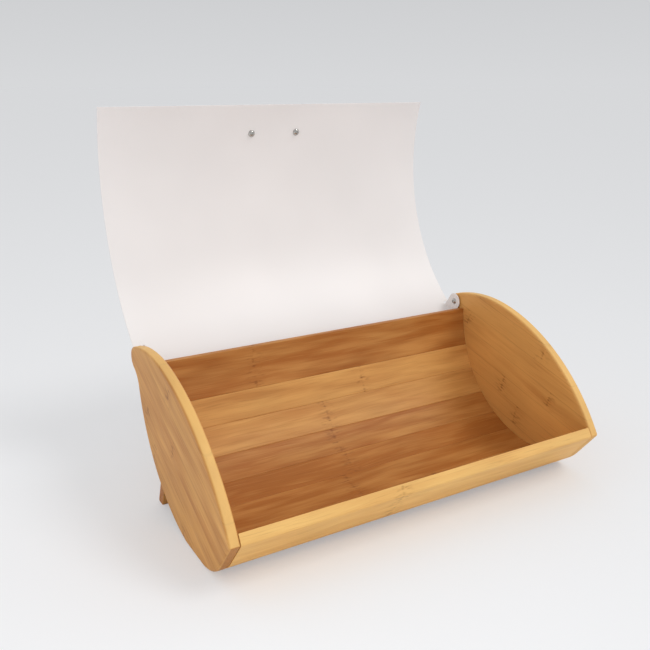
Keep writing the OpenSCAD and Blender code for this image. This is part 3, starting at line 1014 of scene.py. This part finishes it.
class Studio(Operator):
    """Set the camera, the pale floor and the soft light"""

    bl_idname = "bread_box.studio"
    bl_label = "Studio"

    def execute(self, context):
        scene = context.scene
        studio = scene.bread_box_studio
        camera = bpy.data.objects.new("camera", bpy.data.cameras.new("camera"))
        camera.location = studio.camera_place
        camera.rotation_euler = studio.camera_turn
        camera.data.lens = studio.focal_length
        camera.data.sensor_width = 36
        scene.collection.objects.link(camera)
        scene.camera = camera
        scene.view_settings.view_transform = "Standard"

        self.floor(scene, studio)
        self.backdrop(scene, studio)
        # The key lamp tops the soft light up to 1 on the floor, so that a colour renders as
        # written. Light a + (b - a) sin h from the height h gives a level floor (a + 2 b) / 3.
        key = bpy.data.objects.new("key", bpy.data.lights.new("key", "SUN"))
        soft = (studio.sky_low + 2 * studio.sky_high) / 3
        key.data.energy = (1 - soft) * math.pi / math.sin(studio.key_height)
        key.data.angle = studio.key_softness
        turn, height = studio.key_turn, studio.key_height
        level = math.cos(height)
        towards = Vector((level * math.sin(turn), -level * math.cos(turn), math.sin(height)))
        key.rotation_euler = towards.to_track_quat("Z", "Y").to_euler()
        scene.collection.objects.link(key)
        return {"FINISHED"}

    @staticmethod
    def floor(scene, studio):
        """A wide floor with a painted pool of light in front of the box: its colour is far colour +
        (near - far) times
        1 / (1 + (d / r)^1.5) at the distance d from the middle of the pool."""
        reach = 60.0
        mesh = bpy.data.meshes.new("floor")
        corner = np.array(((-1, -1, 0), (1, -1, 0), (1, 1, 0), (-1, 1, 0))) * reach
        mesh.from_pydata(corner.tolist(), [], [(0, 1, 2, 3)])
        floor = bpy.data.objects.new("floor", mesh)
        scene.collection.objects.link(floor)
        material, tree, shader = new_material("pale_floor")
        mesh.materials.append(material)
        away = put(
            tree,
            "ShaderNodeVectorMath",
            "Value",
            operation="DISTANCE",
            s0=put(tree, "ShaderNodeTexCoord", "Object"),
            s1=studio.pool_place,
        )
        away = put(tree, "ShaderNodeMath", operation="DIVIDE", s0=away, s1=studio.pool_reach)
        fall = put(tree, "ShaderNodeMath", operation="POWER", s0=away, s1=1.5)
        fall = put(tree, "ShaderNodeMath", operation="ADD", s0=fall, s1=1.0)
        share = put(tree, "ShaderNodeMath", operation="DIVIDE", s0=1.0, s1=fall)
        far, near = linear(studio.floor_far), linear(studio.floor_near)
        colour = put(tree, "ShaderNodeMix", 2, data_type="RGBA", s0=share, s6=far, s7=near)
        # The camera sees a share of the colour as it is and the rest as the lamps light it, so that
        # shadows stay pale
        seen = put(tree, "ShaderNodeLightPath", "Is Camera Ray")
        lift = put(tree, "ShaderNodeMath", operation="MULTIPLY", s0=seen, s1=studio.shadow_lift)
        rest = put(tree, "ShaderNodeMath", operation="SUBTRACT", s0=1.0, s1=lift)
        lit = put(tree, "ShaderNodeVectorMath", operation="SCALE", s0=colour, Scale=rest)
        tree.links.new(lit, shader.inputs["Base Color"])
        tree.links.new(colour, shader.inputs["Emission Color"])
        tree.links.new(lift, shader.inputs["Emission Strength"])
        shader.inputs["Roughness"].default_value = 1.0
        shader.inputs["Specular IOR Level"].default_value = 0.0

    @staticmethod
    def backdrop(scene, studio):
        """The world: soft light on the object, stronger from the sides than from above, and a pale
        wall where a ray sees it directly or in a mirror, a little darker with height."""
        world = bpy.data.worlds.new("studio")
        scene.world = world
        world.use_nodes = True
        tree = world.node_tree
        tree.nodes.clear()
        seen = put(
            tree,
            "ShaderNodeMath",
            operation="MAXIMUM",
            s0=put(tree, "ShaderNodeLightPath", "Is Camera Ray"),
            s1=put(tree, "ShaderNodeLightPath", "Is Glossy Ray"),
        )
        through = put(tree, "ShaderNodeLightPath", "Is Transmission Ray")
        seen = put(tree, "ShaderNodeMath", operation="MAXIMUM", s0=seen, s1=through)
        way = put(tree, "ShaderNodeTexCoord", "Generated")
        height = put(tree, "ShaderNodeSeparateXYZ", "Z", Vector=way)
        share = put(tree, "ShaderNodeMapRange", s0=height, s1=0.0, s2=0.12)
        low, high = linear(studio.floor_far), linear(studio.backdrop_top)
        wall = put(tree, "ShaderNodeMix", 2, data_type="RGBA", s0=share, s6=low, s7=high)
        sides, above = (studio.sky_low,) * 3 + (1.0,), (studio.sky_high,) * 3 + (1.0,)
        soft = put(tree, "ShaderNodeMix", 2, data_type="RGBA", s0=height, s6=sides, s7=above)
        colour = put(tree, "ShaderNodeMix", 2, data_type="RGBA", s0=seen, s6=soft, s7=wall)
        background = put(tree, "ShaderNodeBackground", Color=colour, Strength=1.0)
        output = tree.nodes.new("ShaderNodeOutputWorld")
        tree.links.new(background, output.inputs["Surface"])


class BreadBoxPanel(Panel):
    """Steps and settings of the bread box"""

    bl_idname = "VIEW3D_PT_bread_box"
    bl_label = "Bread Box"
    bl_space_type = "VIEW_3D"
    bl_region_type = "UI"
    bl_category = "Bread Box"

    def draw(self, context):
        for step in STEPS:
            self.layout.operator(step.bl_idname)
        for group, kind in GROUPS.items():
            box = self.layout.box()
            box.label(text=kind.__name__)
            for name in kind.__annotations__:
                box.prop(getattr(context.scene, group), name)


STEPS = (SidePanels, Staves, FrontRail, RearFoot, LidSheet, LidHandle, Fasteners, Studio)
GROUPS = {
    "bread_box_shape": BreadBoxShape,
    "bread_box_lid": BreadBoxLid,
    "bread_box_finish": BreadBoxFinish,
    "bread_box_studio": BreadBoxStudio,
}


def register():
    for kind in (*GROUPS.values(), *STEPS, BreadBoxPanel):
        bpy.utils.register_class(kind)
    for group, kind in GROUPS.items():
        setattr(bpy.types.Scene, group, PointerProperty(type=kind))


def unregister():
    for group in GROUPS:
        delattr(bpy.types.Scene, group)
    for kind in (BreadBoxPanel, *reversed(STEPS), *reversed(GROUPS.values())):
        bpy.utils.unregister_class(kind)


def main():
    register()
    for step in STEPS:
        group, name = step.bl_idname.split(".")
        getattr(getattr(bpy.ops, group), name)()


if __name__ == "__main__":
    main()
